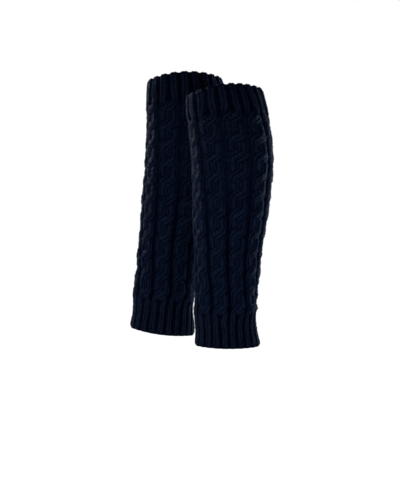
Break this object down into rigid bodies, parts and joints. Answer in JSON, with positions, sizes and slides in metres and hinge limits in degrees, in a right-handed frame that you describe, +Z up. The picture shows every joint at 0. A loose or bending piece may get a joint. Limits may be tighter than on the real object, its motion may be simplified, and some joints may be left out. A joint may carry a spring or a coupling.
{
  "type": "pair of leg warmers",
  "caption": "Pair of hollow knitted tubes for the lower legs, worn shape: rope cables between purl gutters, ribbed cuffs at knee and ankle, one leg swung forward.",
  "frame": {"origin": "midway between the middles of the two top cuffs, where the wearer's legs hold the pair up", "axes": "+Z up along the standing wearer, -Y the way the wearer faces, +X the wearer's left"},
  "size_m": [0.2235, 0.2222, 0.43],
  "materials": {
    "cable_knit": "matte napped yarn, rope cables",
    "rib_knit": "matte napped yarn, two by two rib"
  },
  "bodies": {
    "root": {"left_top_rib": "rib_knit", "left_cable_tube": "cable_knit", "left_bottom_rib": "rib_knit", "right_top_rib": "rib_knit", "right_cable_tube": "cable_knit", "right_bottom_rib": "rib_knit"}
  },
  "joints": []
}
